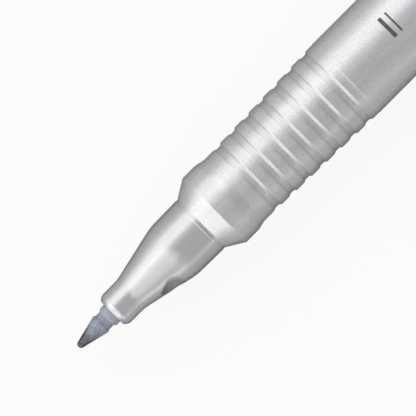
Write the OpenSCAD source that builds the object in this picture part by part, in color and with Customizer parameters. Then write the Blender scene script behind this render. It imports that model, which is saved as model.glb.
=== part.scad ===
// Fine-point permanent marker, lying on a table with its cap posted on the back end.
// The pen's axis is X, with the nib towards -X, and +Z is up from the table.
// The origin is on the axis, in the middle of the plain tube.

/* [Nib] */
// Radius of the rounded writing point
nib_point_r = 0.4; // [0.3:0.05:0.6]
// Length of the tapered head, from the point to its widest place
nib_head_len = 3.2; // [2.6:0.1:4]
// Diameter of the head at its widest place
nib_head_d = 2.2; // [2.05:0.05:2.3]
// Diameter of the neck behind the head
nib_neck_d = 1.94; // [1.6:0.02:2]
// Length of the neck, from the head's widest place to the shank
nib_neck_len = 1.05; // [0.7:0.05:1.6]
// Length of the slope at each end of the neck
nib_slope_len = 0.25; // [0.1:0.05:0.3]
// Diameter of the shank behind the neck
nib_shank_d = 2.36; // [2.3:0.02:2.6]
// How far the shank stands out of the nose
nib_shank_out = 0.55; // [0.3:0.05:1]
// How far the pointed back end reaches into the reservoir
nib_feed_len = 6; // [3:0.5:12]
// Diameter of the flat on the pointed back end
nib_tail_d = 0.8; // [0.4:0.1:1.4]

/* [Nose section] */
// Diameter of the cylinder at the front of the nose
nose_tip_d = 3.96; // [3.7:0.02:4.3]
// Length of that cylinder
nose_tip_len = 2.67; // [2:0.01:4]
// Radius of the edge of the front face
nose_face_r = 0.5; // [0.2:0.05:0.6]
// Length of the cone behind it
nose_cone_len = 6; // [5:0.1:8]
// Diameter of the seat behind the cone, which the cap seals on
nose_base_d = 6.77; // [6.5:0.01:7]
// Length of that seat
nose_base_len = 3.98; // [3:0.01:6]
// How much narrower the seat is at the cone
nose_base_draft = 0.11; // [0:0.01:0.2]
// Radius of the blend between the front cylinder and the cone
nose_tip_blend = 1.2; // [0.6:0.1:4]
// Radius of the blend between the cone and the seat
nose_base_blend = 3.7; // [1:0.1:6]
// Width of the parting groove in front of the barrel
joint_w = 0.3; // [0.2:0.05:0.5]
// Depth of that groove
joint_depth = 0.07; // [0.03:0.01:0.15]
// Diameter of the stem that is pushed into the barrel
stem_d = 5.4; // [5:0.1:5.6]
// Length of that stem
stem_len = 8; // [6:0.5:12]
// Wall of the stem
stem_wall = 0.75; // [0.5:0.05:0.9]
// Height of the bead that snaps into the barrel
bead_h = 0.1; // [0.05:0.01:0.15]
// Width of that bead
bead_w = 0.8; // [0.5:0.1:1.2]
// Length of the bore that grips the nib
nib_bore_len = 6.4; // [4:0.2:7]
// Number of air channels along that bore
air_count = 3; // [2:1:6]
// Diameter of an air channel
air_d = 0.5; // [0.3:0.05:0.7]
// Diameter of the curve in which the gate recess runs out at its back
gate_d = 3.7; // [1.6:0.1:5]
// Depth of the gate recess where that curve starts
gate_depth = 0.33; // [0.15:0.01:0.4]
// Start of that curve, measured from the front face
gate_pos = 6.1; // [5:0.1:6.4]
// How far round from the top the gate recess lies
gate_turn = 67; // [0:1:180]

/* [Barrel] */
// Diameter of the plain tube
barrel_d = 9.6; // [9.5:0.05:10.5]
// Length of the plain tube
tube_len = 77; // [60:0.5:100]
// Step from the nose up to the edge of the barrel's mouth
mouth_step = 0.02; // [0:0.01:0.1]
// Half-angle of the shoulder, and of the cap's seat on the plug
shoulder_angle = 31; // [26:1:38]
// Diameter of the band behind the shoulder
band_d = 9.04; // [8.8:0.02:9.3]
// Length of that band
band_len = 1.54; // [1:0.02:2.5]
// Radius of the edge between the shoulder and the band
band_edge_r = 0.25; // [0.1:0.05:0.5]
// Length of the S-shaped run from the band down to the waist
ogee_len = 1.45; // [1:0.05:2.5]
// Diameter of the waist
waist_d = 8.58; // [8.5:0.02:8.8]
// Length of the waist in front of the first groove
waist_len = 1.17; // [0.6:0.01:3]
// Radius of the edge of the barrel's back end
barrel_edge_r = 0.2; // [0.1:0.05:0.4]
// Diameter of the reservoir chamber
chamber_d = 6.9; // [6.7:0.05:7]
// Length of the mouth bore that holds the stem
seat_len = 4; // [3.6:0.1:5]

/* [Grip] */
// Number of grip grooves
groove_count = 7; // [3:1:10]
// Distance from one groove to the next
groove_pitch = 2.075; // [1.6:0.005:2.6]
// Width of a groove at the surface
groove_w = 0.95; // [0.6:0.05:1.3]
// Depth of a groove below the land in front of it
groove_depth = 0.14; // [0.08:0.005:0.25]
// Length of each sloping groove wall
groove_wall = 0.1; // [0.05:0.01:0.2]
// Diameter of the land in front of the last groove
grip_end_d = 9.4; // [9:0.02:9.6]
// Length of the land behind the last groove
land_len = 1.13; // [0.5:0.01:2]
// Rise from that land to the plain tube
land_step = 0.03; // [0.01:0.01:0.05]
// Length of the bevel on that rise
land_bevel = 0.1; // [0.05:0.01:0.3]

/* [Ink reservoir] */
// Diameter of the fibre rod that holds the ink
reservoir_d = 6.1; // [5.6:0.1:6.3]
// Wall of the film round it
film_t = 0.15; // [0.1:0.01:0.18]
// Number of ribs in the barrel that centre the reservoir
barrel_rib_count = 6; // [3:1:8]
// Width of one of those ribs
barrel_rib_w = 0.6; // [0.4:0.1:1]

/* [End plug] */
// Length of the plug's stem inside the barrel
plug_stem_len = 9; // [5:0.5:14]
// Wall of the plug's stem
plug_wall = 0.9; // [0.6:0.1:1.4]
// Length of the plug's band behind the barrel
plug_band_len = 1; // [0.5:0.1:2]
// Length of the peg that the cap is posted on
peg_len = 7; // [5:0.5:9]
// Radius of the peg's end edge
peg_edge_r = 0.6; // [0.2:0.1:1]
// Diameter of the dimple in the peg's end
dimple_d = 3; // [1.5:0.5:4]
// Depth of that dimple
dimple_depth = 0.3; // [0.1:0.05:0.5]

/* [Cap] */
// Diameter of the cap at its rim
cap_rim_d = 9.6; // [9.4:0.05:10]
// Diameter of the cap at its closed end
cap_end_d = 9; // [8.8:0.05:9.4]
// Wall of the cap
cap_wall = 0.6; // [0.45:0.05:0.65]
// Thickness of the closed end
cap_end_t = 1.6; // [1:0.1:2.4]
// Radius of the edge of the closed end
cap_edge_r = 0.8; // [0.3:0.1:1]
// Room between the inner cap and the closed end
vent_room = 12.7; // [8:0.1:18]
// Diameter of the vent hole in the closed end
vent_d = 3; // [2:0.2:4]
// Number of ribs that hold the inner cap
cap_rib_count = 6; // [3:1:8]
// Width of one of those ribs
cap_rib_w = 0.8; // [0.5:0.1:1.2]
// How far the ribs step in behind the inner cap
cap_rib_stop = 0.7; // [0.4:0.1:1.2]

/* [Inner cap] */
// Wall of the inner cap
inner_wall = 0.45; // [0.35:0.05:0.5]
// Thickness of its closed end
inner_end_t = 0.8; // [0.5:0.1:1.5]
// Length of its straight seal bore
seal_len = 9; // [8:0.5:11]
// Diameter of its cavity at the closed end
inner_end_d = 6; // [5.9:0.05:6.4]
// Room in front of the nib when the cap is closed
nib_room = 1.5; // [1:0.1:4]

/* [Clip] */
// Width of the clip
clip_w = 3.2; // [2.4:0.2:4.4]
// Thickness of the clip
clip_t = 1.1; // [0.8:0.1:1.6]
// Gap between the clip and the cap's rim
clip_gap = 1.3; // [0.9:0.1:2]
// Length of the clip
clip_len = 28; // [20:0.5:31]
// Length of the clip's root on the cap
clip_root_len = 4; // [3:0.5:8]
// Radius of the bump on the clip's free end
clip_bump_r = 1.5; // [1:0.1:2]
// Gap left under the bump
clip_bump_gap = 0.25; // [0.1:0.05:0.5]

/* [Fits] */
// Radial play where one piece is pushed into another
fit = 0.02; // [0.01:0.005:0.03]
// Radial play between the inner cap and the seat or peg in it
cap_fit = 0.04; // [0.03:0.01:0.08]
// Gap between the cap's rim and the shoulder that it meets
rim_gap = 0.1; // [0.05:0.01:0.2]
// Gap between the inner cap's mouth and the shoulder
inner_gap = 0.3; // [0.15:0.05:0.6]
// Gap at each end of the reservoir
reservoir_gap = 0.2; // [0.1:0.05:0.5]

/* [Hidden] */
$fn = 96;
arc_steps = 6;
overlap = 0.05;

silver = [0.74, 0.74, 0.75];
bright_silver = [0.80, 0.80, 0.82];
fibre_grey = [0.56, 0.59, 0.66];
ink_black = [0.07, 0.07, 0.08];
natural_white = [0.90, 0.90, 0.88];
ink_fibre = [0.16, 0.16, 0.20];
clear_film = [0.82, 0.84, 0.86];

// Radii that pieces share
shank_r = nib_shank_d / 2;
nib_bore_r = shank_r + fit;
nose_base_r = nose_base_d / 2;
stem_r = stem_d / 2;
stem_bore_r = stem_r + fit;
mouth_r = nose_base_r + mouth_step;
band_r = band_d / 2;
waist_r = waist_d / 2;
barrel_r = barrel_d / 2;
chamber_r = chamber_d / 2;
reservoir_r = reservoir_d / 2;
film_in_r = reservoir_r + fit;
film_r = film_in_r + film_t;
seal_r = nose_base_r + cap_fit;
inner_r = seal_r + inner_wall;
cap_rim_r = cap_rim_d / 2;
cap_end_r = cap_end_d / 2;

// Stations along the axis, from the point of the nib back to the end of the posted cap
shank_x = nib_head_len + nib_neck_len;
nose_face_x = shank_x + nib_shank_out;
nose_cone_x = nose_face_x + nose_tip_len;
nose_base_x = nose_cone_x + nose_cone_len;
mouth_x = nose_base_x + nose_base_len;
shoulder_len = (band_r - mouth_r) / tan(shoulder_angle);
shoulder_x = mouth_x + shoulder_len;
band_end_x = shoulder_x + band_len;
waist_x = band_end_x + ogee_len;
groove_x = waist_x + waist_len;
grip_end_x = groove_x + (groove_count - 1) * groove_pitch + groove_w;
tube_x = grip_end_x + land_len;
barrel_end_x = tube_x + tube_len;
stem_end_x = mouth_x + stem_len;
bead_x = mouth_x + seat_len / 2;
reservoir_x = stem_end_x + reservoir_gap;
plug_front_x = barrel_end_x - plug_stem_len;
reservoir_end_x = plug_front_x - reservoir_gap;
plug_band_x = barrel_end_x + plug_band_len;
peg_x = plug_band_x + shoulder_len;
peg_end_x = peg_x + peg_len;
rim_x = plug_band_x + rim_gap;
inner_mouth_x = rim_x + (band_r - seal_r) / tan(shoulder_angle) + inner_gap;
cavity_end_x = rim_x + shoulder_x + nib_room;
inner_end_x = cavity_end_x + inner_end_t;
cap_floor_x = inner_end_x + vent_room;
cap_end_x = cap_floor_x + cap_end_t;
origin_x = tube_x + tube_len / 2;

// The clip is turned so that its edge rests on the table beside the barrel
clip_r = cap_rim_r + clip_gap + clip_t;
clip_turn = asin(clip_w / 2 / clip_r) + acos(barrel_r / clip_r);

function unit(v) = v / norm(v);

// Points of an arc of radius r that rounds the corner c between the points p and q
function blend(p, c, q, r) =
    let (u = unit(p - c), v = unit(q - c))
    let (half = acos(u * v) / 2)
    let (middle = c + unit(u + v) * r / sin(half))
    let (from = unit(c + u * r / tan(half) - middle), to = unit(c + v * r / tan(half) - middle))
    let (sweep = acos(from * to))
    [for (i = [0:arc_steps]) let (t = i / arc_steps)
        middle + r * (from * sin(sweep * (1 - t)) + to * sin(sweep * t)) / sin(sweep)];

// Radius of the land in front of the groove i, as the grip steps up from the waist to the plain tube
function land_r(i) =
    i < groove_count ? waist_r + (grip_end_d / 2 - waist_r) * i / (groove_count - 1) : barrel_r - land_step;

// Outline of the groove i, down from the land in front of it and up to the land behind it
function groove(i) =
    let (x = groove_x + i * groove_pitch, floor_r = land_r(i) - groove_depth)
    [
        [land_r(i), x],
        [floor_r, x + groove_wall],
        [floor_r, x + groove_w - groove_wall],
        [land_r(i + 1), x + groove_w],
    ];

// Outline of the nib's pointed back end, grown by the play for the hole that it sits in
function tail(play) = [
    [shank_r + play, reservoir_x],
    [nib_tail_d / 2 + play, reservoir_x + nib_feed_len + play],
    [0, reservoir_x + nib_feed_len + play],
];

// Outline of the snap bead on the stem, grown by the play for the groove that it snaps into
function bead(play) = [
    [stem_r + play, bead_x - bead_w / 2 - play],
    [stem_r + bead_h + play, bead_x - bead_w / 4 - play],
    [stem_r + bead_h + play, bead_x + bead_w / 4 + play],
    [stem_r + play, bead_x + bead_w / 2 + play],
];

// Outside radius of the cap at the station x
function cap_r(x) = cap_rim_r + (cap_end_r - cap_rim_r) * (x - rim_x) / (cap_end_x - rim_x);

// Lays a piece that was drawn upright, nib down, along the X axis
module laid() {
    translate([-origin_x, 0, 0]) rotate([0, 90, 0]) children();
}

// Turns an outline of radii and stations into a round piece
module turned(outline) {
    rotate_extrude() polygon(outline);
}

// Porous fibre nib: rounded point, tapered head, neck, shank and pointed back end
module nib() {
    head_r = nib_head_d / 2;
    neck_r = nib_neck_d / 2;
    reach = [nib_head_len - nib_point_r, head_r];
    tangent = atan2(reach.y, reach.x) + acos(nib_point_r / norm(reach));
    point = [for (i = [0:arc_steps]) let (a = 180 + (tangent - 180) * i / arc_steps)
        [nib_point_r * sin(a), nib_point_r + nib_point_r * cos(a)]];
    color(fibre_grey) laid() turned(concat(
        point,
        [
            [head_r, nib_head_len],
            [neck_r, nib_head_len + nib_slope_len],
            [neck_r, shank_x - nib_slope_len],
            [shank_r, shank_x],
        ],
        tail(0)));
}

// Moulded nose: front cylinder, cone and cap seat outside, nib bore and stem inside
module nose_section() {
    tip_r = nose_tip_d / 2;
    cone_end_r = nose_base_r - nose_base_draft / 2;
    face = [nib_bore_r, nose_face_x];
    face_edge = [tip_r, nose_face_x];
    cone_start = [tip_r, nose_cone_x];
    cone_end = [cone_end_r, nose_base_x];
    seat_end = [nose_base_r, mouth_x - joint_w];
    cavity_r = stem_r - stem_wall;
    lead = stem_wall / 2;
    bore_end_x = nose_face_x + nib_bore_len;
    gate_x = nose_face_x + gate_pos;
    cone_slope = (cone_end_r - tip_r) / nose_cone_len;
    gate_floor_r = tip_r + (gate_x - nose_cone_x) * cone_slope - gate_depth;
    color(bright_silver) laid() difference() {
        turned(concat(
            [face],
            blend(face, face_edge, cone_start, nose_face_r),
            blend(face_edge, cone_start, cone_end, nose_tip_blend),
            blend(cone_start, cone_end, seat_end, nose_base_blend),
            [
                seat_end,
                [nose_base_r - joint_depth, mouth_x - joint_w],
                [nose_base_r - joint_depth, mouth_x],
                [stem_r, mouth_x],
            ],
            bead(0),
            [
                [stem_r, stem_end_x - lead],
                [stem_r - lead, stem_end_x],
                [cavity_r, stem_end_x],
                [cavity_r, bore_end_x + cavity_r - nib_bore_r],
                [nib_bore_r, bore_end_x],
            ]));
        for (i = [0:air_count - 1])
            rotate([0, 0, i * 360 / air_count])
                translate([nib_bore_r, 0, nose_face_x - overlap])
                    cylinder(d = air_d, h = nib_bore_len + cavity_r - nib_bore_r + 2 * overlap);
        // The gate recess has a flat floor along the axis and runs out in a curve at its back
        rotate([0, 0, 180 + gate_turn])
            translate([gate_floor_r, 0, 0])
                rotate([90, 0, 0])
                    linear_extrude(height = nose_base_d, center = true) union() {
                        translate([gate_d / 2, gate_x]) circle(d = gate_d);
                        translate([0, nose_cone_x]) square([gate_d, gate_x - nose_cone_x]);
                    }
    }
}

// Barrel: shoulder, band, waist, tapered grip with grooves, plain tube, and ribs inside
module barrel() {
    mouth = [mouth_r, mouth_x];
    shoulder = [band_r, shoulder_x];
    band_end = [band_r, band_end_x];
    ogee = [for (i = [1:2 * arc_steps]) let (t = i / (2 * arc_steps))
        [band_r - (band_r - waist_r) * (1 - cos(180 * t)) / 2, band_end_x + ogee_len * t]];
    grooves = [for (i = [0:groove_count - 1]) each groove(i)];
    back = [barrel_r, barrel_end_x];
    seat_end_x = mouth_x + seat_len;
    bead_groove = bead(fit);
    rib_in_r = film_r + fit;
    color(silver) laid() union() {
        turned(concat(
            [mouth],
            blend(mouth, shoulder, band_end, band_edge_r),
            [band_end],
            ogee,
            grooves,
            [
                [barrel_r - land_step, tube_x],
                [barrel_r, tube_x + land_bevel],
            ],
            blend([barrel_r, tube_x], back, [chamber_r, barrel_end_x], barrel_edge_r),
            [
                [chamber_r, barrel_end_x],
                [chamber_r, seat_end_x + chamber_r - stem_bore_r],
                [stem_bore_r, seat_end_x],
            ],
            [for (i = [len(bead_groove) - 1:-1:0]) bead_groove[i]],
            [[stem_bore_r, mouth_x]]));
        for (i = [0:barrel_rib_count - 1])
            rotate([0, 0, i * 360 / barrel_rib_count])
                translate([rib_in_r, -barrel_rib_w / 2, reservoir_x])
                    cube([chamber_r + overlap - rib_in_r, barrel_rib_w, reservoir_end_x - reservoir_x]);
    }
}

// Fibre rod that holds the ink, with the hole that the nib's back end sits in
module ink_reservoir() {
    color(ink_fibre) laid() turned(concat(
        tail(fit),
        [
            [0, reservoir_end_x],
            [reservoir_r, reservoir_end_x],
            [reservoir_r, reservoir_x],
        ]));
}

// Film tube round the fibre rod
module reservoir_film() {
    color(clear_film) laid() turned([
        [film_in_r, reservoir_x],
        [film_r, reservoir_x],
        [film_r, reservoir_end_x],
        [film_in_r, reservoir_end_x],
    ]);
}

// Plug that closes the barrel, with a shoulder and a peg shaped like the nose's for posting the cap
module end_plug() {
    plug_r = chamber_r - fit;
    lead = plug_wall / 2;
    dimple_r = dimple_d / 2;
    peg_end = [nose_base_r, peg_end_x];
    dimple_edge = [dimple_r, peg_end_x];
    color(ink_black) laid() turned(concat(
        [
            [0, barrel_end_x - plug_wall],
            [plug_r - plug_wall, barrel_end_x - plug_wall],
            [plug_r - plug_wall, plug_front_x],
            [plug_r - lead, plug_front_x],
            [plug_r, plug_front_x + lead],
            [plug_r, barrel_end_x],
            [band_r, barrel_end_x],
            [band_r, plug_band_x],
            [mouth_r, peg_x],
            [nose_base_r, peg_x],
        ],
        blend([nose_base_r, peg_x], peg_end, dimple_edge, peg_edge_r),
        [
            dimple_edge,
            [dimple_r - dimple_depth, peg_end_x - dimple_depth],
            [0, peg_end_x - dimple_depth],
        ]));
}

// Side view of the clip, as radii and stations: root, spring arm and the bump at its free end
module clip_side() {
    inside = clip_r - clip_t;
    back_x = cap_end_x - cap_edge_r;
    front_x = back_x - clip_len;
    root_x = back_x - clip_root_len;
    root_r = cap_end_r - cap_wall / 2;
    bump_x = front_x + clip_bump_r;
    bump_r = cap_r(bump_x) + clip_bump_gap + clip_bump_r;
    union() {
        polygon(concat(
            [[root_r, back_x]],
            blend([root_r, back_x], [clip_r, back_x], [clip_r, front_x], clip_t),
            blend([clip_r, back_x], [clip_r, front_x], [inside, front_x], clip_t / 2),
            [[inside, front_x]],
            blend([inside, front_x], [inside, root_x], [root_r, root_x], clip_gap / 2),
            [[root_r, root_x]]));
        intersection() {
            translate([bump_r, bump_x]) circle(r = clip_bump_r);
            translate([0, front_x]) square([clip_r - clip_t / 2, clip_len]);
        }
    }
}

// Cap: tapered shell with a clip, ribs that hold the inner cap, and a vent hole in its closed end
module cap() {
    rim = [cap_rim_r, rim_x];
    end_edge = [cap_end_r, cap_end_x];
    bore_rim_r = cap_rim_r - cap_wall;
    bore_end_r = cap_r(cap_floor_x) - cap_wall;
    rim_seat_x = rim_x + (band_r - bore_rim_r) / tan(shoulder_angle);
    rib_in_r = inner_r + fit;
    rib_x = inner_mouth_x + inner_wall;
    color(ink_black) laid() {
        difference() {
            union() {
                turned(concat(
                    [[0, rim_x], rim],
                    blend(rim, end_edge, [0, cap_end_x], cap_edge_r),
                    [[0, cap_end_x]]));
                intersection() {
                    rotate([0, 0, -clip_turn])
                        rotate([90, 0, 0])
                            linear_extrude(height = clip_w, center = true) clip_side();
                    cylinder(r = clip_r, h = cap_end_x);
                }
            }
            turned([
                [0, rim_x - overlap],
                [band_r, rim_x - overlap],
                [band_r, rim_x],
                [bore_rim_r, rim_seat_x],
                [bore_end_r, cap_floor_x],
                [0, cap_floor_x],
            ]);
            // Socket that keeps the wall clear of the inner cap
            translate([0, 0, rim_x]) cylinder(r = rib_in_r, h = inner_end_x - rim_x);
            translate([0, 0, cap_floor_x - overlap]) cylinder(d = vent_d, h = cap_end_t + 2 * overlap);
        }
        for (i = [0:cap_rib_count - 1])
            rotate([0, 0, (i + 0.5) * 360 / cap_rib_count - clip_turn])
                rotate([90, 0, 0])
                    linear_extrude(height = cap_rib_w, center = true) polygon([
                        [rib_in_r, rib_x],
                        [cap_r(rib_x) - cap_wall / 2, rib_x],
                        [bore_end_r + cap_wall / 2, cap_floor_x + overlap],
                        [inner_r - cap_rib_stop, cap_floor_x + overlap],
                        [inner_r - cap_rib_stop, inner_end_x],
                        [rib_in_r, inner_end_x],
                    ]);
    }
}

// Cup inside the cap that seals on the nose, or on the peg while the cap is posted
module inner_cap() {
    lead = inner_wall / 2;
    color(natural_white) laid() turned([
        [0, cavity_end_x],
        [inner_end_d / 2, cavity_end_x],
        [seal_r, inner_mouth_x + seal_len],
        [seal_r, inner_mouth_x + lead],
        [seal_r + lead, inner_mouth_x],
        [inner_r, inner_mouth_x],
        [inner_r, inner_end_x],
        [0, inner_end_x],
    ]);
}

nib();
nose_section();
barrel();
ink_reservoir();
reservoir_film();
end_plug();
cap();
inner_cap();
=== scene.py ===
import math
import bmesh
import bpy
from mathutils import Matrix, Vector


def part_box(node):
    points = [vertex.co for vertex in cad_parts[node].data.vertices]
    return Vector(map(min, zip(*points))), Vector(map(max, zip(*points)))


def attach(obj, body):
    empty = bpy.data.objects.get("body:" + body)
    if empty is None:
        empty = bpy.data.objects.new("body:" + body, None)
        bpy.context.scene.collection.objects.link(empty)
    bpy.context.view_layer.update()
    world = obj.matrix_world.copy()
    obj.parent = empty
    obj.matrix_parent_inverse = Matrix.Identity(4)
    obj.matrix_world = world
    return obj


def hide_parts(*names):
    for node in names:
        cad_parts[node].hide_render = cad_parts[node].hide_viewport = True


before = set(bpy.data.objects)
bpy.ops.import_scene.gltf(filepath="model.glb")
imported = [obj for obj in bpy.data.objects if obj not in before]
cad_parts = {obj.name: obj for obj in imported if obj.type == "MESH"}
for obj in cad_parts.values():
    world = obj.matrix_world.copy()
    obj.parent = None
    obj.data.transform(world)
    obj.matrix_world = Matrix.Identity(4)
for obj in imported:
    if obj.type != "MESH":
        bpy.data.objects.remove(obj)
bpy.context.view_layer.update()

mm = 0.001
weld = 2e-4                             # points closer than this many mm become one
tiny = 1e-6                             # lengths in mm below this count as none
support = 0.2                           # gap of the ring beside an arc, as a share of the arc's radius
scene = bpy.context.scene
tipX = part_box("nib")[0].x / mm          # stations are counted in mm from the point of the nib


# Shape helpers, all in mm until a piece is finished

def clamped(value):
    return min(1, max(0, value))


def rounded(corners, closed=False, steps=6):
    # corners are (station, radius, rounding); a rounding of 0 leaves the corner sharp
    points = []
    count = len(corners)
    for i, (station, radius, rounding) in enumerate(corners):
        corner = Vector((station, radius))
        if not rounding or (not closed and i in (0, count - 1)):
            points.append(corner)
            continue
        before = (Vector(corners[i - 1][:2]) - corner).normalized()
        after = (Vector(corners[(i + 1) % count][:2]) - corner).normalized()
        half = before.angle(after) / 2
        reach = rounding / math.tan(half)
        middle = corner + (before + after).normalized() * rounding / math.sin(half)
        start = corner + before * reach - middle
        end = corner + after * reach - middle
        sweep = start.angle(end)
        points.append(corner + before * (reach + support * rounding))
        for k in range(steps + 1):
            t = k / steps
            spoke = start * math.sin(sweep * (1 - t)) + end * math.sin(sweep * t)
            points.append(middle + spoke / math.sin(sweep))
        points.append(corner + after * (reach + support * rounding))
    return points


def densified(points, longest):
    out = [points[0]]
    for a, b in zip(points, points[1:]):
        pieces = max(1, math.ceil((b - a).length / longest))
        out += [a.lerp(b, k / pieces) for k in range(1, pieces + 1)]
    return out


def spot(station, radius, angle):
    # angle runs from the top, +Z, towards -Y
    return Vector((tipX + station, -radius * math.sin(angle), radius * math.cos(angle)))


def lathe(bm, points, segments, closed=False, form=None):
    # form may change a point's radius by its station and angle
    rings = []
    for station, radius in points:
        if radius < tiny:
            rings.append([bm.verts.new(spot(station, 0, 0))])
            continue
        ring = []
        for k in range(segments):
            angle = 2 * math.pi * k / segments
            shaped = form(station, radius, angle) if form else radius
            ring.append(bm.verts.new(spot(station, shaped, angle)))
        rings.append(ring)
    if closed:
        rings.append(rings[0])
    for a, b in zip(rings, rings[1:]):
        for k in range(segments):
            n = (k + 1) % segments
            corners = [a[k % len(a)], a[n % len(a)], b[n % len(b)], b[k % len(b)]]
            loop = list(dict.fromkeys(corners))          # a ring of one point leaves a triangle
            if len(loop) > 2:
                bm.faces.new(loop)


def slab(bm, outline, width, strips=1):
    # closed block from an outline of (station, radius), standing up from the axis and centred across it
    rows = []
    for k in range(strips + 1):
        across = width * (k / strips - 0.5)
        rows.append([bm.verts.new(Vector((tipX + p[0], across, p[1]))) for p in outline])
    for a, b in zip(rows, rows[1:]):
        for i in range(len(outline)):
            n = (i + 1) % len(outline)
            bm.faces.new([a[i], a[n], b[n], b[i]])
    bm.faces.new(rows[0])
    bm.faces.new(rows[-1])


def meshFrom(bm, name):
    bmesh.ops.remove_doubles(bm, verts=bm.verts, dist=weld)
    bmesh.ops.recalc_face_normals(bm, faces=bm.faces)
    mesh = bpy.data.meshes.new(name)
    bm.to_mesh(mesh)
    bm.free()
    return mesh


def objectFrom(data, name):
    made = bpy.data.objects.new(name, data)
    scene.collection.objects.link(made)
    return made


def turned(name, points, segments, closed=False, form=None):
    bm = bmesh.new()
    lathe(bm, points, segments, closed, form)
    return objectFrom(meshFrom(bm, name), name)


def applied(made):
    # the object's mesh with its modifiers worked in
    graph = bpy.context.evaluated_depsgraph_get()
    return bpy.data.meshes.new_from_object(made.evaluated_get(graph))


def joined(base, added):
    modifier = base.modifiers.new("weld", "BOOLEAN")
    modifier.object = added
    modifier.operation = "UNION"
    modifier.solver = "EXACT"
    mesh = applied(base)
    base.modifiers.remove(modifier)
    base.data = mesh
    bpy.data.objects.remove(added)
    return base


def paintShade(mesh, share):
    # writes how much painted shade darkens the surface at each point, from 0 to 1
    values = mesh.attributes.new("paintedShade", "FLOAT", "POINT").data
    for v in mesh.vertices:
        values[v.index].value = share(v.co.x - tipX, math.hypot(v.co.y, v.co.z))


def finished(made, material, body, node=None, sharp=32):
    mesh = made.data
    mesh.transform(Matrix.Scale(mm, 4))
    mesh.shade_smooth()
    mesh.set_sharp_from_angle(angle=math.radians(sharp))
    mesh.materials.clear()
    mesh.materials.append(material)
    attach(made, body)
    if node:
        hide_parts(node)
    print("piece", made.name, len(mesh.polygons), "faces")
    return made


# Material helpers

def linear(code):
    parts = [int(code[i:i + 2], 16) / 255 for i in (1, 3, 5)]
    return [c / 12.92 if c <= 0.04045 else ((c + 0.055) / 1.055) ** 2.4 for c in parts] + [1]


def perMm(size):
    return 1 / (size * mm)              # pattern scale whose features are this many mm


def addNode(tree, kind, sockets=None, **settings):
    node = tree.nodes.new(kind)
    for name, value in settings.items():
        setattr(node, name, value)
    for name, value in (sockets or {}).items():
        if isinstance(value, bpy.types.NodeSocket):
            tree.links.new(value, node.inputs[name])
        else:
            node.inputs[name].default_value = value
    return node


def newMaterial(name):
    material = bpy.data.materials.new(name)
    material.use_nodes = True
    tree = material.node_tree
    shader = tree.nodes["Principled BSDF"]
    coords = addNode(tree, "ShaderNodeTexCoord").outputs["Object"]
    return material, tree, shader, coords


# Silver polypropylene: aluminium pigment in the plastic gives a soft sparkle and faint flow lines; painted
# shade is mixed in where a mesh's attribute asks for it

silver = {"stretch": 0.12, "flakeDetail": 2.0, "flakeRough": 0.6, "flowDetail": 3.0, "flowShare": 0.3,
          "spread": (0.34, 0.66), "flowRange": (0.3, 0.7), "swing": 0.015, "relief": 0.004,
          "rim": "#767676", "metal": 0.9, "ior": 1.49}


def silverPlastic(name, look):
    material, tree, shader, coords = newMaterial(name)
    flake = addNode(tree, "ShaderNodeTexNoise",
                    {"Vector": coords, "Scale": perMm(look["flake"]),
                     "Detail": silver["flakeDetail"], "Roughness": silver["flakeRough"]})
    along = addNode(tree, "ShaderNodeMapping", {"Vector": coords, "Scale": (silver["stretch"], 1, 1)})
    flow = addNode(tree, "ShaderNodeTexNoise",
                   {"Vector": along.outputs[0], "Scale": perMm(look["flow"]),
                    "Detail": silver["flowDetail"]})
    cloud = addNode(tree, "ShaderNodeMix",
                    {"Factor": silver["flowShare"], "A": flake.outputs["Fac"], "B": flow.outputs["Fac"]},
                    data_type="FLOAT")
    ramp = addNode(tree, "ShaderNodeValToRGB", {"Fac": cloud.outputs[0]})
    for element, position, tone in zip(ramp.color_ramp.elements, silver["spread"], ("dark", "light")):
        element.position = position
        element.color = linear(look[tone])
    least, most = silver["flowRange"]
    rough = addNode(tree, "ShaderNodeMapRange",
                    {"Value": flow.outputs["Fac"], "From Min": least, "From Max": most,
                     "To Min": look["rough"] - silver["swing"], "To Max": look["rough"] + silver["swing"]})
    bump = addNode(tree, "ShaderNodeBump",
                   {"Height": flake.outputs["Fac"], "Strength": look["grain"],
                    "Distance": silver["relief"] * mm})
    # painted shade: the look's shade colour, mixed into the base colour by the mesh's attribute
    paintedShade = addNode(tree, "ShaderNodeAttribute", attribute_name="paintedShade")
    shadeMix = addNode(tree, "ShaderNodeMix",
                   {"Factor": paintedShade.outputs["Fac"], "A": ramp.outputs["Color"], "B": linear(look["paintedShade"])},
                   data_type="RGBA")
    tree.links.new(shadeMix.outputs[2], shader.inputs["Base Color"])
    tree.links.new(rough.outputs["Result"], shader.inputs["Roughness"])
    tree.links.new(bump.outputs["Normal"], shader.inputs["Normal"])
    shader.inputs["Metallic"].default_value = silver["metal"]
    shader.inputs["Specular Tint"].default_value = linear(silver["rim"])
    shader.inputs["IOR"].default_value = silver["ior"]
    return material


# the third colour of each look is painted shade, for the barrel's groove floors and the nose's gate recess
barrelLook = {"flake": 0.16, "flow": 0.9, "dark": "#b1b1b3", "light": "#c7c7c9", "paintedShade": "#8e8e90",
              "rough": 0.38, "grain": 0.25}
noseLook = {"flake": 0.2, "flow": 1.2, "dark": "#b2b2b4", "light": "#b8b8ba", "paintedShade": "#848486",
            "rough": 0.29, "grain": 0.02}
barrelSilver = silverPlastic("silver polypropylene, satin mould", barrelLook)
noseSilver = silverPlastic("silver polypropylene, polished mould", noseLook)


# Bonded polyester fibre: fine fibres along the axis, blue-grey and damp, inked dark at the point, with the
# sides darkened by ink and painted shade

# three keys set the darkening of the flanks, partly ink and partly painted shade: where it starts and ends
# by facing, its share, and its growth towards the point
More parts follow.
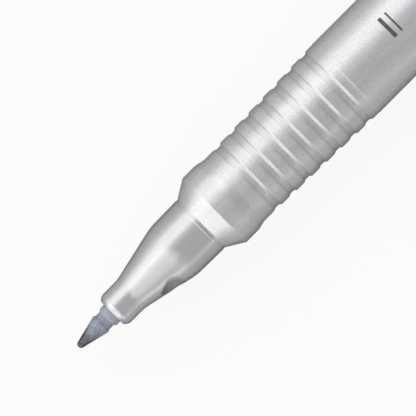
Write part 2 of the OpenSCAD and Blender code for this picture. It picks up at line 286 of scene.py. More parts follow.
fibreLook = {"fibre": 0.09, "stretch": 0.1, "streakDetail": 3.0, "streakRough": 0.65,
             "patch": 0.7, "patchDetail": 2.0, "patchShare": 0.5,
             "spread": (0.36, 0.64), "dark": "#686c7a", "light": "#878b99",
             "ink": "#151416", "inkFrom": 0.5, "inkTo": 2.7, "strands": (0.4, 0.6), "strandInk": 0.5,
             "shadedSides": (0.3, 0.9), "sideInkAndShade": 0.35, "sidePoint": 0.9,
             "clean": "#a4a7b1", "cleanFrom": 3.4, "cleanTo": 4.6, "cleanShare": 0.55,
             "bump": 0.5, "relief": 0.02, "rough": 0.34, "gloss": 0.4}


def inkedShadedFibre(name, look):
    material, tree, shader, coords = newMaterial(name)
    along = addNode(tree, "ShaderNodeMapping", {"Vector": coords, "Scale": (look["stretch"], 1, 1)})
    streak = addNode(tree, "ShaderNodeTexNoise",
                     {"Vector": along.outputs[0], "Scale": perMm(look["fibre"]),
                      "Detail": look["streakDetail"], "Roughness": look["streakRough"]})
    patch = addNode(tree, "ShaderNodeTexNoise",
                    {"Vector": coords, "Scale": perMm(look["patch"]), "Detail": look["patchDetail"]})
    mottle = addNode(tree, "ShaderNodeMix",
                     {"Factor": look["patchShare"], "A": streak.outputs["Fac"], "B": patch.outputs["Fac"]},
                     data_type="FLOAT")
    ramp = addNode(tree, "ShaderNodeValToRGB", {"Fac": mottle.outputs[0]})
    for element, position, tone in zip(ramp.color_ramp.elements, look["spread"], ("dark", "light")):
        element.position = position
        element.color = linear(look[tone])
    # ink at the point, in strands
    place = addNode(tree, "ShaderNodeSeparateXYZ", {"Vector": coords})
    point = addNode(tree, "ShaderNodeMapRange",
                    {"Value": place.outputs["X"], "From Min": (tipX + look["inkFrom"]) * mm,
                     "From Max": (tipX + look["inkTo"]) * mm, "To Min": 1.0, "To Max": 0.0},
                    interpolation_type="SMOOTHSTEP")
    # painted shade on the sides, darker where a point faces away from the top, deepened with the ink
    # towards the point
    across = addNode(tree, "ShaderNodeMapping", {"Vector": coords, "Scale": (0, 1, 1)})
    spoke = addNode(tree, "ShaderNodeVectorMath", {0: across.outputs[0]}, operation="NORMALIZE")
    up = addNode(tree, "ShaderNodeSeparateXYZ", {"Vector": spoke.outputs[0]})
    side = addNode(tree, "ShaderNodeMapRange",
                   {"Value": up.outputs["Z"], "From Min": look["shadedSides"][0], "From Max": look["shadedSides"][1],
                    "To Min": 1.0, "To Max": 0.0},
                   interpolation_type="SMOOTHSTEP")
    strand = addNode(tree, "ShaderNodeMapRange",
                     {"Value": streak.outputs["Fac"], "From Min": look["strands"][0],
                      "From Max": look["strands"][1], "To Min": 1.0, "To Max": look["strandInk"]})
    sideMost = addNode(tree, "ShaderNodeMath",
                       {0: point.outputs["Result"], 1: look["sidePoint"], 2: look["sideInkAndShade"]},
                       operation="MULTIPLY_ADD")
    sideInkAndShade = addNode(tree, "ShaderNodeMath", {0: side.outputs["Result"], 1: sideMost.outputs[0]},
                      operation="MULTIPLY")
    inkAndShade = addNode(tree, "ShaderNodeMath",
                       {0: point.outputs["Result"], 1: strand.outputs["Result"], 2: sideInkAndShade.outputs[0]},
                       operation="MULTIPLY_ADD", use_clamp=True)
    # cleaner fibre towards the nose
    root = addNode(tree, "ShaderNodeMapRange",
                   {"Value": place.outputs["X"], "From Min": (tipX + look["cleanFrom"]) * mm,
                    "From Max": (tipX + look["cleanTo"]) * mm, "To Min": 0.0, "To Max": look["cleanShare"]})
    paled = addNode(tree, "ShaderNodeMix",
                    {"Factor": root.outputs["Result"], "A": ramp.outputs["Color"],
                     "B": linear(look["clean"])},
                    data_type="RGBA")
    inked = addNode(tree, "ShaderNodeMix",
                    {"Factor": inkAndShade.outputs[0], "A": paled.outputs[2], "B": linear(look["ink"])},
                    data_type="RGBA")
    bump = addNode(tree, "ShaderNodeBump",
                   {"Height": streak.outputs["Fac"], "Strength": look["bump"],
                    "Distance": look["relief"] * mm})
    tree.links.new(inked.outputs[2], shader.inputs["Base Color"])
    tree.links.new(bump.outputs["Normal"], shader.inputs["Normal"])
    shader.inputs["Roughness"].default_value = look["rough"]
    shader.inputs["Specular IOR Level"].default_value = look["gloss"]
    return material


nibFibre = inkedShadedFibre("bonded polyester fibre, inked, painted shade on the sides", fibreLook)


# Plain moulded plastics and the inner pieces: a fine mottle, no sparkle

moulded = {"detail": 3.0, "spread": (0.35, 0.65), "grainRange": (0.3, 0.7), "swing": 0.04, "bump": 0.2}


def mouldedPlastic(name, look):
    material, tree, shader, coords = newMaterial(name)
    stretched = addNode(tree, "ShaderNodeMapping", {"Vector": coords, "Scale": (look["stretch"], 1, 1)})
    grain = addNode(tree, "ShaderNodeTexNoise",
                    {"Vector": stretched.outputs[0], "Scale": perMm(look["grain"]),
                     "Detail": moulded["detail"]})
    ramp = addNode(tree, "ShaderNodeValToRGB", {"Fac": grain.outputs["Fac"]})
    for element, position, tone in zip(ramp.color_ramp.elements, moulded["spread"], ("dark", "light")):
        element.position = position
        element.color = linear(look[tone])
    least, most = moulded["grainRange"]
    rough = addNode(tree, "ShaderNodeMapRange",
                    {"Value": grain.outputs["Fac"], "From Min": least, "From Max": most,
                     "To Min": look["rough"] - moulded["swing"],
                     "To Max": look["rough"] + moulded["swing"]})
    bump = addNode(tree, "ShaderNodeBump",
                   {"Height": grain.outputs["Fac"], "Strength": moulded["bump"],
                    "Distance": look["relief"] * mm})
    tree.links.new(ramp.outputs["Color"], shader.inputs["Base Color"])
    tree.links.new(rough.outputs["Result"], shader.inputs["Roughness"])
    tree.links.new(bump.outputs["Normal"], shader.inputs["Normal"])
    shader.inputs["IOR"].default_value = look["ior"]
    return material


# Black polypropylene from a polished mould: deep black with a clear gloss
capLook = {"grain": 0.5, "stretch": 0.3, "dark": "#161618", "light": "#1e1e21", "rough": 0.24,
           "relief": 0.004, "ior": 1.49}
capBlack = mouldedPlastic("black polypropylene, polished mould", capLook)
# Natural polyethylene: milky and waxy, with a dull gloss
sealLook = {"grain": 0.8, "stretch": 0.5, "dark": "#d6d5cf", "light": "#e4e3de", "rough": 0.42,
            "relief": 0.006, "ior": 1.51}
sealNatural = mouldedPlastic("natural polyethylene", sealLook)
# Fibre rod soaked with ink: dark strands along the rod, damp sheen
rodLook = {"grain": 0.12, "stretch": 0.05, "dark": "#15151b", "light": "#2c2c36", "rough": 0.55,
           "relief": 0.03, "ior": 1.45}
inkFibre = mouldedPlastic("polyester fibre soaked with ink", rodLook)
# Wrapping film: thin clear polypropylene over the rod, seen as pale grey with a sharp gloss
filmLook = {"grain": 1.5, "stretch": 0.2, "dark": "#c4c8cc", "light": "#d8dbde", "rough": 0.15,
            "relief": 0.01, "ior": 1.49}
wrapFilm = mouldedPlastic("polypropylene wrapping film", filmLook)
# Pad-printed ink: dull dark grey, a little thin in places
printLook = {"grain": 0.25, "stretch": 1.0, "dark": "#343436", "light": "#444447", "rough": 0.5,
             "relief": 0.002, "ior": 1.5}
printInk = mouldedPlastic("pad printing ink", printLook)
print("materials ready")


# Nib

nib = {"pointR": 0.4, "pointSteps": 12, "headLen": 3.2, "headR": 1.1, "headEdge": 0.15, "neckR": 0.97,
       "neckEdge": 0.12, "slope": 0.25, "shank": 4.25, "shankR": 1.18, "shankEdge": 0.06, "tail": 25.65,
       "end": 31.65, "tailR": 0.4, "spacing": 1.0, "segments": 160}
reach = Vector((nib["headLen"] - nib["pointR"], nib["headR"]))
tangent = math.atan2(reach.y, reach.x) + math.acos(nib["pointR"] / reach.length)
nibPoints = []
for k in range(nib["pointSteps"] + 1):
    a = math.pi + (tangent - math.pi) * k / nib["pointSteps"]
    nibPoints.append(Vector((nib["pointR"] * (1 + math.cos(a)), nib["pointR"] * math.sin(a) if k else 0)))
nibPoints += rounded([(nibPoints[-1].x, nibPoints[-1].y, 0),
                      (nib["headLen"], nib["headR"], nib["headEdge"]),
                      (nib["headLen"] + nib["slope"], nib["neckR"], nib["neckEdge"]),
                      (nib["shank"] - nib["slope"], nib["neckR"], nib["neckEdge"]),
                      (nib["shank"], nib["shankR"], nib["shankEdge"]),
                      (nib["tail"], nib["shankR"], 0),
                      (nib["end"], nib["tailR"], 0)])[1:]
nibPoints.append(Vector((nib["end"], 0)))
nibPoint = turned("nib_point", densified(nibPoints, nib["spacing"]), nib["segments"])
finished(nibPoint, nibFibre, "pen", "nib")


# Nose section, with the scooped recess that its gate leaves, and painted shade in that recess

nose = {"face": 4.8, "faceEdge": 0.15, "boreR": 1.2, "boreSlack": 0.01, "boreEnd": 11.2,
        "airCount": 3, "airR": 0.25, "tipR": 1.98, "bevel": (0.46, 0.37), "bevelEdge": 0.7,
        "cone": 7.47, "tipBlend": 4.0, "base": 13.47, "coneR": 3.33, "baseBlend": 6.0,
        "seatR": 3.385, "lip": 0.025, "lipFrom": 0.17, "lipTop": 0.09, "lipEdges": (0.1, 0.08, 0.03),
        "joint": 17.15, "jointR": 3.36, "mouth": 17.45, "stemR": 2.7, "stem": 25.45, "lead": 0.375,
        "cavityR": 1.95, "arcSteps": 8, "spacing": 0.8, "sharp": 40, "segments": 400}
# the gate's last keys set painted shade in the recess: where it starts, where and how fast it fades, and
# how deep the surface must sink for it
gate = {"curve": 10.78, "floorR": 2.42175, "curveR": 1.7, "turn": math.radians(67), "halfTurn": 1.0,
        "leastR": 2.3, "edge": 0.03, "softFrom": 10.4, "soften": 8, "ringFrom": 9.0, "ringTo": 12.8,
        "ringR": 2.2, "ringSpacing": 0.05, "shadeFrom": 9.2, "fadeFrom": 9.8, "fade": 0.6, "sunk": 0.004,
        "sunkOver": 0.05}


def noseForm(station, radius, angle):
    # air channels along the bore
    if radius < nose["boreR"] + nose["boreSlack"] and station < nose["boreEnd"]:
        pitch = 2 * math.pi / nose["airCount"]
        off = (angle + math.pi + pitch / 2) % pitch - pitch / 2
        side = nose["boreR"] * math.sin(off)
        if abs(side) < nose["airR"]:
            return max(radius, nose["boreR"] * math.cos(off) + math.sqrt(nose["airR"] ** 2 - side ** 2))
        return radius
    turn = (angle - gate["turn"] + math.pi) % (2 * math.pi) - math.pi
    past = max(0, station - gate["curve"])
    if abs(turn) > gate["halfTurn"] or radius < gate["leastR"] or past >= gate["curveR"]:
        return radius
    floor = (gate["floorR"] + gate["curveR"] - math.sqrt(gate["curveR"] ** 2 - past ** 2)) / math.cos(turn)
    # the recess has its softest edge where it runs out
    edge = gate["edge"] * (1 + gate["soften"] * clamped(station - gate["softFrom"]))
    share = clamped(0.5 + (radius - floor) / edge / 2)
    return radius + (floor - radius) * share - edge * share * (1 - share)


# painted shade in the gate recess, strongest at its front and fading towards the back
def recessShade(station, radius):
    if radius < gate["leastR"] or not gate["shadeFrom"] < station < gate["ringTo"]:
        return 0
    slope = (nose["coneR"] - nose["tipR"]) / (nose["base"] - nose["cone"])
    sunk = nose["tipR"] + (station - nose["cone"]) * slope - radius
    fade = clamped(1 - gate["fade"] * (station - gate["fadeFrom"]))      # painted shade, darkest at its front
    return fade * clamped((sunk - gate["sunk"]) / gate["sunkOver"])


lipR = nose["seatR"] + nose["lip"]
nosePoints = rounded([(nose["face"], nose["boreR"], 0),
                      (nose["face"], nose["tipR"] - nose["bevel"][1], nose["faceEdge"]),
                      (nose["face"] + nose["bevel"][0], nose["tipR"], nose["bevelEdge"]),
                      (nose["cone"], nose["tipR"], nose["tipBlend"]),
                      (nose["base"], nose["coneR"], nose["baseBlend"]),
                      (nose["joint"] - nose["lipFrom"], nose["seatR"], nose["lipEdges"][0]),
                      (nose["joint"] - nose["lipTop"], lipR, nose["lipEdges"][1]),
                      (nose["joint"], lipR, nose["lipEdges"][2]),
                      (nose["joint"], nose["jointR"], 0),
                      (nose["mouth"], nose["jointR"], 0),
                      (nose["mouth"], nose["stemR"], 0),
                      (nose["stem"] - nose["lead"], nose["stemR"], 0),
                      (nose["stem"], nose["stemR"] - nose["lead"], 0),
                      (nose["stem"], nose["cavityR"], 0),
                      (nose["boreEnd"] + nose["cavityR"] - nose["boreR"], nose["cavityR"], 0),
                      (nose["boreEnd"], nose["boreR"], 0)], steps=nose["arcSteps"])
nosePoints = densified(nosePoints, nose["spacing"])
noseRings = []
for a, b in zip(nosePoints, nosePoints[1:] + nosePoints[:1]):
    noseRings.append(a)
    # close rings at the recess
    if gate["ringFrom"] < a.x < gate["ringTo"] and a.y > gate["ringR"] and b.x > a.x:
        pieces = math.ceil((b - a).length / gate["ringSpacing"])
        noseRings += [a.lerp(b, k / pieces) for k in range(1, pieces)]
noseShell = turned("nose_moulding", noseRings, nose["segments"], closed=True, form=noseForm)
# painted shade in the gate recess
paintShade(noseShell.data, recessShade)
finished(noseShell, noseSilver, "pen", "nose_section", nose["sharp"])


# Node rules that repeat a shape

def newRule(name, inputs):
    tree = bpy.data.node_groups.new(name, "GeometryNodeTree")
    tree.interface.new_socket("Geometry", in_out="OUTPUT", socket_type="NodeSocketGeometry")
    tree.interface.new_socket("Geometry", in_out="INPUT", socket_type="NodeSocketGeometry")
    for label, kind in inputs.items():
        tree.interface.new_socket(label, in_out="INPUT", socket_type="NodeSocket" + kind)
    return tree, addNode(tree, "NodeGroupInput").outputs


def endRule(tree, instances, material):
    real = addNode(tree, "GeometryNodeRealizeInstances", {"Geometry": instances})
    dressed = addNode(tree, "GeometryNodeSetMaterial", {"Geometry": real.outputs[0], "Material": material})
    addNode(tree, "NodeGroupOutput", {"Geometry": dressed.outputs[0]})


def runNodes(source, tree, values):
    # gives the rule's mesh and removes the shape that it repeated
    modifier = source.modifiers.new("rule", "NODES")
    modifier.node_group = tree
    for item in tree.interface.items_tree:
        if item.item_type == "SOCKET" and item.in_out == "INPUT" and item.name in values:
            modifier[item.identifier] = values[item.name]
    made = applied(source)
    source.modifiers.remove(modifier)
    bpy.data.objects.remove(source)
    return made


# One groove and the land behind it, repeated along the axis, each row a step wider than the one before
gripRule, given = newRule("stepped grip",
                          {"Count": "Int", "Pitch": "Float", "Start": "Float", "Step": "Float",
                           "Material": "Material"})
firstSpot = addNode(gripRule, "ShaderNodeCombineXYZ", {"X": given["Start"]})
stride = addNode(gripRule, "ShaderNodeCombineXYZ", {"X": given["Pitch"]})
row = addNode(gripRule, "GeometryNodeMeshLine",
              {"Count": given["Count"], "Start Location": firstSpot.outputs[0],
               "Offset": stride.outputs[0]})
counted = addNode(gripRule, "GeometryNodeCaptureAttribute", {"Geometry": row.outputs[0]})
counted.capture_items.new("FLOAT", "Row")
gripRule.links.new(addNode(gripRule, "GeometryNodeInputIndex").outputs[0], counted.inputs["Row"])
grooves = addNode(gripRule, "GeometryNodeInstanceOnPoints",
                  {"Points": counted.outputs["Geometry"], "Instance": given["Geometry"]})
loose = addNode(gripRule, "GeometryNodeRealizeInstances", {"Geometry": grooves.outputs[0]})
growth = addNode(gripRule, "ShaderNodeMath", {0: counted.outputs["Row"], 1: given["Step"]},
                 operation="MULTIPLY")
here = addNode(gripRule, "ShaderNodeSeparateXYZ",
               {"Vector": addNode(gripRule, "GeometryNodeInputPosition").outputs[0]})
flat = addNode(gripRule, "ShaderNodeCombineXYZ", {"Y": here.outputs["Y"], "Z": here.outputs["Z"]})
outward = addNode(gripRule, "ShaderNodeVectorMath", {0: flat.outputs[0]}, operation="NORMALIZE")
shift = addNode(gripRule, "ShaderNodeVectorMath", {0: outward.outputs[0], "Scale": growth.outputs[0]},
                operation="SCALE")
stepped = addNode(gripRule, "GeometryNodeSetPosition",
                  {"Geometry": loose.outputs[0], "Offset": shift.outputs[0]})
merged = addNode(gripRule, "GeometryNodeMergeByDistance",
                 {"Geometry": stepped.outputs[0], "Distance": weld})
endRule(gripRule, merged.outputs[0], given["Material"])

# A row of ribs round the axis, for the barrel and the cap
ringRule, given = newRule("ribs round the axis", {"Count": "Int", "Turn": "Float", "Material": "Material"})
seats = addNode(ringRule, "GeometryNodeMeshLine", {"Count": given["Count"], "Offset": (0, 0, 0)})
index = addNode(ringRule, "GeometryNodeInputIndex")
share = addNode(ringRule, "ShaderNodeMath", {0: 2 * math.pi, 1: given["Count"]}, operation="DIVIDE")
angle = addNode(ringRule, "ShaderNodeMath", {0: index.outputs[0], 1: share.outputs[0], 2: given["Turn"]},
                operation="MULTIPLY_ADD")
turn = addNode(ringRule, "ShaderNodeCombineXYZ", {"X": angle.outputs[0]})
ribs = addNode(ringRule, "GeometryNodeInstanceOnPoints",
               {"Points": seats.outputs[0], "Instance": given["Geometry"], "Rotation": turn.outputs[0]})
endRule(ringRule, ribs.outputs[0], given["Material"])


def ribRing(outline, width, values):
    bm = bmesh.new()
    slab(bm, outline, width)
    rib = objectFrom(meshFrom(bm, "rib"), "rib")
    return objectFrom(runNodes(rib, ringRule, values), "ribs")


# Barrel: shoulder, band and tube are turned, the grip's grooves are laid along it and tapered

barrel = {"mouth": nose["mouth"], "mouthR": 3.405, "shoulder": 19.3057, "bandR": 4.52, "bandEdge": 0.25,
          "bandEnd": 20.8457, "ogee": 1.45, "ogeeSteps": 24, "waistR": 4.29, "tubeR": 4.795,
          "tubeLead": 0.1, "tubeEdge": 0.1, "end": 114.9957, "edge": 0.2, "chamberR": 3.45,
          "seat": 21.45, "seatR": 2.72, "frontSpacing": 0.5, "backSpacing": 4.0, "sharp": 28,
          "segments": 192}
# the grip's last keys set painted shade on the groove floors: its share, and where it starts and stops in
# each groove
grip = {"start": 23.2657, "lead": 0.2, "count": 7, "pitch": 2.075, "step": 0.0683, "width": 0.95,
        "depth": 0.14, "fall": 0.28, "fallR": 0.34, "rise": 0.22, "riseR": 0.2, "riseSplit": (0.7, 0.3),
        "arcSteps": 8, "spacing": 0.4, "shadeMix": 0.12, "shadeFrom": 0.5, "shadeTo": 0.4, "leastR": 4}
barrelRib = {"from": 25.65, "to": 105.79, "lowR": 3.26, "highR": 3.6, "width": 0.6, "count": 6,
             "turn": math.pi}
gripEnd = grip["start"] + grip["count"] * grip["pitch"]
gripEndR = barrel["waistR"] + grip["count"] * grip["step"]
grooveR = barrel["waistR"] - grip["depth"]
backR = barrel["waistR"] + grip["step"]
backWall = grip["lead"] + grip["width"]
groove = rounded([(0, barrel["waistR"], 0),
                  (grip["lead"], barrel["waistR"], grip["fallR"]),
                  (grip["lead"] + grip["fall"], grooveR, grip["fallR"]),
                  (backWall - grip["riseSplit"][0] * grip["rise"], grooveR, grip["riseR"]),
                  (backWall + grip["riseSplit"][1] * grip["rise"], backR, grip["riseR"]),
                  (grip["pitch"], backR, 0)], steps=grip["arcSteps"])
groovePoints = [Vector((p.x - tipX, p.y)) for p in densified(groove, grip["spacing"])]
gripMesh = runNodes(turned("groove", groovePoints, barrel["segments"]), gripRule,
                    {"Count": grip["count"], "Pitch": grip["pitch"], "Start": tipX + grip["start"],
                     "Step": grip["step"], "Material": barrelSilver})
print("grip", len(gripMesh.polygons), "faces")

front = rounded([(barrel["mouth"], barrel["mouthR"], 0),
                 (barrel["shoulder"], barrel["bandR"], barrel["bandEdge"]),
                 (barrel["bandEnd"], barrel["bandR"], 0)])[:-1]
for k in range(barrel["ogeeSteps"] + 1):
    sunk = (barrel["bandR"] - barrel["waistR"]) * (1 - math.cos(math.pi * k / barrel["ogeeSteps"])) / 2
    station = barrel["bandEnd"] + barrel["ogee"] * k / barrel["ogeeSteps"]
    front.append(Vector((station, barrel["bandR"] - sunk)))
front.append(Vector((grip["start"], barrel["waistR"])))
back = rounded([(gripEnd, gripEndR, 0),
                (gripEnd + barrel["tubeLead"], barrel["tubeR"], barrel["tubeEdge"]),
                (barrel["end"], barrel["tubeR"], barrel["edge"]),
                (barrel["end"], barrel["chamberR"], 0),
                (barrel["seat"] + barrel["chamberR"] - barrel["seatR"], barrel["chamberR"], 0),
                (barrel["seat"], barrel["seatR"], 0),
                (barrel["mouth"], barrel["seatR"], 0)]) + [front[0]]
bm = bmesh.new()
lathe(bm, densified(front, barrel["frontSpacing"]), barrel["segments"])
lathe(bm, densified(back, barrel["backSpacing"]), barrel["segments"])
bm.from_mesh(gripMesh)
barrelShell = objectFrom(meshFrom(bm, "barrel_moulding"), "barrel_moulding")
barrelRibs = ribRing([(barrelRib["from"], barrelRib["lowR"]), (barrelRib["from"], barrelRib["highR"]),
                      (barrelRib["to"], barrelRib["highR"]), (barrelRib["to"], barrelRib["lowR"])],
                     barrelRib["width"],
                     {"Count": barrelRib["count"], "Turn": barrelRib["turn"], "Material": barrelSilver})
barrelShell = joined(barrelShell, barrelRibs)


# painted shade on the groove floors, between the front and back walls of each groove
def grooveShade(station, radius):
    along = (station - grip["start"]) % grip["pitch"]
    shadeFrom = grip["lead"] + grip["shadeFrom"] * grip["fall"]
    shadeTo = backWall - grip["shadeTo"] * grip["rise"]
    outside = radius > grip["leastR"] and grip["start"] < station < gripEnd
    return grip["shadeMix"] if outside and shadeFrom < along < shadeTo else 0


paintShade(barrelShell.data, grooveShade)
finished(barrelShell, barrelSilver, "pen", "barrel", barrel["sharp"])


# End plug

plug = {"front": 105.9957, "stemR": 3.43, "wall": 0.9, "barrelEnd": barrel["end"], "rimEdge": 0.08,
        "band": 115.9957, "bandR": barrel["bandR"], "bandEdge": 0.12, "peg": 117.8514,
        "mouthR": barrel["mouthR"], "pegR": 3.385, "pegEnd": 124.8514, "edge": 0.6,
        "dimpleR": 1.5, "dimple": 0.3, "dimpleEdges": (0.06, 0.1), "spacing": 1.5, "segments": 128}
dimpleFloor = plug["pegEnd"] - plug["dimple"]
plugPoints = rounded([(plug["barrelEnd"] - plug["wall"], 0, 0),
                      (plug["barrelEnd"] - plug["wall"], plug["stemR"] - plug["wall"], 0),
                      (plug["front"], plug["stemR"] - plug["wall"], 0),
                      (plug["front"], plug["stemR"] - plug["wall"] / 2, 0),
                      (plug["front"] + plug["wall"] / 2, plug["stemR"], 0),
                      (plug["barrelEnd"], plug["stemR"], 0),
                      (plug["barrelEnd"], plug["bandR"], plug["rimEdge"]),
                      (plug["band"], plug["bandR"], plug["bandEdge"]),
                      (plug["peg"], plug["mouthR"], 0),
                      (plug["peg"], plug["pegR"], 0),
                      (plug["pegEnd"], plug["pegR"], plug["edge"]),
                      (plug["pegEnd"], plug["dimpleR"], plug["dimpleEdges"][0]),
                      (dimpleFloor, plug["dimpleR"] - plug["dimple"], plug["dimpleEdges"][1]),
                      (dimpleFloor, 0, 0)])
plugShell = turned("plug_moulding", densified(plugPoints, plug["spacing"]), plug["segments"])
finished(plugShell, capBlack, "pen", "end_plug")


# Cap: turned shell, clip and inner ribs welded into one moulding

cap = {"rim": 116.0957, "rimR": 4.798, "rimEdges": (0.05, 0.1), "end": 152.0005, "endR": 4.5, "edge": 0.8,
       "wall": 0.6, "floor": 150.401, "floorEdge": 0.3, "ventR": 1.5, "ventEdge": 0.2, "seatR": 4.52,
       "shoulder": math.radians(31), "ribW": 0.8, "ribCount": 6, "ribStart": 118.668, "ribR": 3.895,
       "ribStep": 137.7014, "ribStopR": 3.175, "ribPast": 0.05, "spacing": 3.0, "sharp": 30,
       "segments": 192}
clip = {"r": 7.2, "thick": 1.1, "gap": 1.3, "width": 3.2, "strips": 16, "length": 28, "root": 4,
        "bumpR": 1.5, "bumpGap": 0.25, "bumpSteps": 24, "spacing": 1.5, "turn": math.radians(118.97),
        "edge": 0.22, "edgeSteps": 4, "edgeFrom": math.radians(50)}


def capAt(station):
    return cap["rimR"] + (cap["endR"] - cap["rimR"]) * (station - cap["rim"]) / (cap["end"] - cap["rim"])


boreRim = cap["rimR"] - cap["wall"]
boreEnd = capAt(cap["floor"]) - cap["wall"]
seatEnd = cap["rim"] + (cap["seatR"] - boreRim) / math.tan(cap["shoulder"])
capPoints = rounded([(cap["rim"], cap["seatR"], cap["rimEdges"][0]),
                     (cap["rim"], cap["rimR"], cap["rimEdges"][1]),
                     (cap["end"], cap["endR"], cap["edge"]),
                     (cap["end"], cap["ventR"], cap["ventEdge"]),
                     (cap["floor"], cap["ventR"], 0),
                     (cap["floor"], boreEnd, cap["floorEdge"]),
                     (seatEnd, boreRim, 0)], closed=True)
capPoints = densified(capPoints + [capPoints[0]], cap["spacing"])[:-1]
capShell = turned("cap_moulding", capPoints, cap["segments"], closed=True)

clipBack = cap["end"] - cap["edge"]
clipIn = clip["r"] - clip["thick"]
clipFront = clipBack - clip["length"]
clipRoot = clipBack - clip["root"]
rootR = cap["endR"] - cap["wall"] / 2
bumpAt = clipFront + clip["bumpR"]
bumpMid = capAt(bumpAt) + clip["bumpGap"] + clip["bumpR"]
dip = math.acos((clipIn - bumpMid) / clip["bumpR"])
bump = []
for k in range(clip["bumpSteps"] + 1):
    a = dip + (2 * math.pi - 2 * dip) * k / clip["bumpSteps"]
    bump.append(Vector((bumpAt + clip["bumpR"] * math.sin(a), bumpMid + clip["bumpR"] * math.cos(a))))
bump = [p for p in bump if p.x >= clipFront - tiny][::-1]
side = rounded([(clipBack, rootR, 0),
                (clipBack, clip["r"], clip["thick"]),
                (clipFront, clip["r"], clip["thick"] / 2),
                (clipFront, bump[0].y, 0)])
side += bump
side += rounded([(bump[-1].x, bump[-1].y, 0),
                 (clipRoot, clipIn, clip["gap"] / 2),
                 (clipRoot, rootR, 0)])[1:]
bm = bmesh.new()
slab(bm, densified(side, clip["spacing"]), clip["width"], clip["strips"])
for v in bm.verts:                                        # crown the outside to the clip's own radius
    height = clamped((v.co.z - clipIn) / clip["thick"])
    v.co.z -= height * (clip["r"] - math.sqrt(clip["r"] ** 2 - v.co.y ** 2))
clipArm = objectFrom(meshFrom(bm, "clip"), "clip")
clipArm.data.transform(Matrix.Rotation(clip["turn"], 4, "X"))
bevel = clipArm.modifiers.new("edges", "BEVEL")
bevel.width = clip["edge"]
bevel.segments = clip["edgeSteps"]
bevel.limit_method = "ANGLE"
bevel.angle_limit = clip["edgeFrom"]
clipArm.data = applied(clipArm)
clipArm.modifiers.clear()
ribEnd = cap["floor"] + cap["ribPast"]
ribRootR = capAt(cap["ribStart"]) - cap["wall"] / 2
capRibs = ribRing([(cap["ribStart"], cap["ribR"]), (cap["ribStart"], ribRootR),
                   (ribEnd, boreEnd + cap["wall"] / 2), (ribEnd, cap["ribStopR"]),
                   (cap["ribStep"], cap["ribStopR"]), (cap["ribStep"], cap["ribR"])],
                  cap["ribW"],
                  {"Count": cap["ribCount"], "Turn": clip["turn"] + math.pi / cap["ribCount"],
                   "Material": capBlack})
capShell = joined(joined(capShell, capRibs), clipArm)
finished(capShell, capBlack, "cap_assembly", "cap", cap["sharp"])


# Inner cap

cup = {"mouth": 118.2182, "sealR": 3.425, "wall": 0.45, "rimEdge": 0.08, "seal": 9, "cavity": 136.9014,
       "endR": 3.0, "cavityEdge": 0.4, "end": 137.7014, "edge": 0.2, "spacing": 2.0, "segments": 128}
cupPoints = rounded([(cup["cavity"], 0, 0),
                     (cup["cavity"], cup["endR"], cup["cavityEdge"]),
                     (cup["mouth"] + cup["seal"], cup["sealR"], 0),
                     (cup["mouth"] + cup["wall"] / 2, cup["sealR"], 0),
                     (cup["mouth"], cup["sealR"] + cup["wall"] / 2, 0),
                     (cup["mouth"], cup["sealR"] + cup["wall"], cup["rimEdge"]),
                     (cup["end"], cup["sealR"] + cup["wall"], cup["edge"]),
                     (cup["end"], 0, 0)])
sealCup = turned("seal_cup", densified(cupPoints, cup["spacing"]), cup["segments"])
finished(sealCup, sealNatural, "cap_assembly", "inner_cap")


# Line-width mark printed on the tube: one broad stroke and one fine stroke

mark = {"station": 44.0, "strokes": [(0.0, 0.42), (0.95, 0.2)], "from": -1.95, "to": 0.6, "r": 4.8,
        "sunk": 0.02, "corner": 0.06, "spacing": 0.1}
bm = bmesh.new()
for offset, width in mark["strokes"]:
    strokeFrom = mark["station"] + offset
    strokeTo = strokeFrom + width
    outline = rounded([(strokeFrom, mark["from"], mark["corner"]),
                       (strokeTo, mark["from"], mark["corner"]),
                       (strokeTo, mark["to"], mark["corner"]),
                       (strokeFrom, mark["to"], mark["corner"])], closed=True)
    outline = densified(outline + [outline[0]], mark["spacing"])[:-1]
    rows = []
    for radius in (barrel["tubeR"] - mark["sunk"], mark["r"]):
        rows.append([bm.verts.new(spot(p.x, radius, p.y / mark["r"])) for p in outline])
    for i in range(len(outline)):
        n = (i + 1) % len(outline)
        bm.faces.new([rows[0][i], rows[0][n], rows[1][n], rows[1][i]])
    for ring in rows:
        bm.faces.new(ring)
bmesh.ops.triangulate(bm, faces=[f for f in bm.faces if len(f.verts) > 4])
finished(objectFrom(meshFrom(bm, "width_mark"), "width_mark"), printInk, "pen")


# Inner pieces that keep their solids

for node, material in (("ink_reservoir", inkFibre), ("reservoir_film", wrapFilm)):
    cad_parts[node].data.materials.clear()
    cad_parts[node].data.materials.append(material)
print("pieces ready")


# Stage: paper that the camera and mirror-like surfaces see as white

stage = {"level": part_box("barrel")[0].z, "half": 3.0, "paper": "#c2c2c2", "white": 0.9, "gloss": 0.25}
floorMesh = bpy.data.meshes.new("floor")
floorCorners = ((-1, -1), (1, -1), (1, 1), (-1, 1))
floorPoints = [(stage["half"] * x, stage["half"] * y, stage["level"]) for x, y in floorCorners]
floorMesh.from_pydata(floorPoints, [], [(0, 1, 2, 3)])
floor = objectFrom(floorMesh, "floor")
paper = bpy.data.materials.new("white paper")
paper.use_nodes = True
tree = paper.node_tree
tree.nodes.clear()
rays = addNode(tree, "ShaderNodeLightPath").outputs
shine = addNode(tree, "ShaderNodeMath", {0: rays["Is Glossy Ray"], 1: stage["gloss"]}, operation="MULTIPLY")
direct = addNode(tree, "ShaderNodeMath", {0: rays["Is Camera Ray"], 1: shine.outputs[0]},
                 operation="MAXIMUM")
seen = addNode(tree, "ShaderNodeMath", {0: direct.outputs[0], 1: rays["Is Transmission Ray"]},
               operation="MAXIMUM")
amount = addNode(tree, "ShaderNodeMath", {0: seen.outputs[0], 1: stage["white"]}, operation="MULTIPLY")
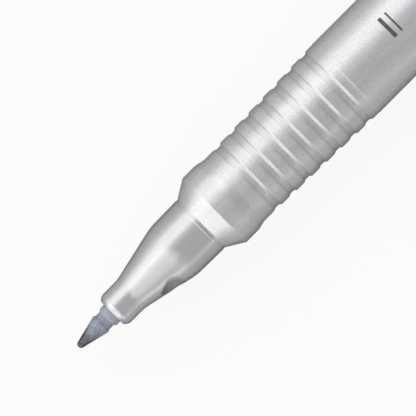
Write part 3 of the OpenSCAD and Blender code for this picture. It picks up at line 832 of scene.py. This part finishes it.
matte = addNode(tree, "ShaderNodeBsdfDiffuse", {"Color": linear(stage["paper"])})
glow = addNode(tree, "ShaderNodeEmission", {"Color": (1, 1, 1, 1), "Strength": 1.0})
mixed = addNode(tree, "ShaderNodeMixShader",
                {"Fac": amount.outputs[0], 1: matte.outputs[0], 2: glow.outputs[0]})
addNode(tree, "ShaderNodeOutputMaterial", {"Surface": mixed.outputs[0]})
floorMesh.materials.append(paper)


# Light: a soft box on the +Y side and one in front, with smaller ones for the flanks and the edges

ambient = 0.64
world = bpy.data.worlds.new("studio")
scene.world = world
world.use_nodes = True
sky = world.node_tree.nodes["Background"]
sky.inputs["Color"].default_value = (1, 1, 1, 1)
sky.inputs["Strength"].default_value = ambient

aim = Vector((-0.05, 0, 0))
lampDistance = 0.7
lamps = {"key": {"azimuth": 90, "elevation": 42, "size": (1.5, 0.6), "level": 1.285},
         "keyHigh": {"azimuth": 90, "elevation": 68, "size": (1.5, 0.3), "level": 0.21},
         "front": {"azimuth": 180, "elevation": 28, "size": (1.1, 0.75), "level": 1.25},
         "frontHigh": {"azimuth": -172, "elevation": 66, "size": (0.62, 0.2), "level": 0.86},
         "cornerRight": {"azimuth": -122, "elevation": 30, "size": (0.5, 0.55), "level": 0.29},
         "cornerRear": {"azimuth": 38, "elevation": 28, "size": (0.5, 0.5), "level": 0.775},
         "low": {"azimuth": 90, "elevation": 8, "size": (1.2, 0.12), "level": 0.56},
         "lowLeft": {"azimuth": 138, "elevation": 7, "size": (0.6, 0.12), "level": 1.4},
         "lowRight": {"azimuth": -135, "elevation": 7, "size": (0.6, 0.12), "level": 1.12},
         "fill": {"azimuth": -90, "elevation": 13, "size": (1.0, 0.16), "level": 0.6}}
for name, lamp in lamps.items():
    data = bpy.data.lights.new(name, "AREA")
    data.shape = "RECTANGLE"
    data.size, data.size_y = lamp["size"]
    data.energy = lamp["level"] * math.pi * data.size * data.size_y        # level 1 is as bright as white
    azimuth = math.radians(lamp["azimuth"])
    elevation = math.radians(lamp["elevation"])
    away = Vector((math.cos(azimuth) * math.cos(elevation), math.sin(azimuth) * math.cos(elevation),
                   math.sin(elevation)))
    softBox = objectFrom(data, name)
    softBox.location = aim + away * lampDistance
    softBox.rotation_euler = away.to_track_quat("Z", "Y").to_euler()
    softBox.visible_camera = False


# Camera, straight above the pen and turned so that the pen runs up to the right

view = {"height": 0.5, "x": -0.057506, "y": 0.000617, "turn": -45.1, "width": 0.0416, "sensor": 36.0,
        "near": 0.01, "far": 20}
camera = objectFrom(bpy.data.cameras.new("camera"), "camera")
camera.data.sensor_width = view["sensor"]
camera.data.lens = view["sensor"] * view["height"] / view["width"]
camera.data.clip_start = view["near"]
camera.data.clip_end = view["far"]
camera.location = (view["x"], view["y"], view["height"])
camera.rotation_euler = (0, 0, math.radians(view["turn"]))
scene.camera = camera
scene.view_settings.view_transform = "Standard"
print("stage ready")
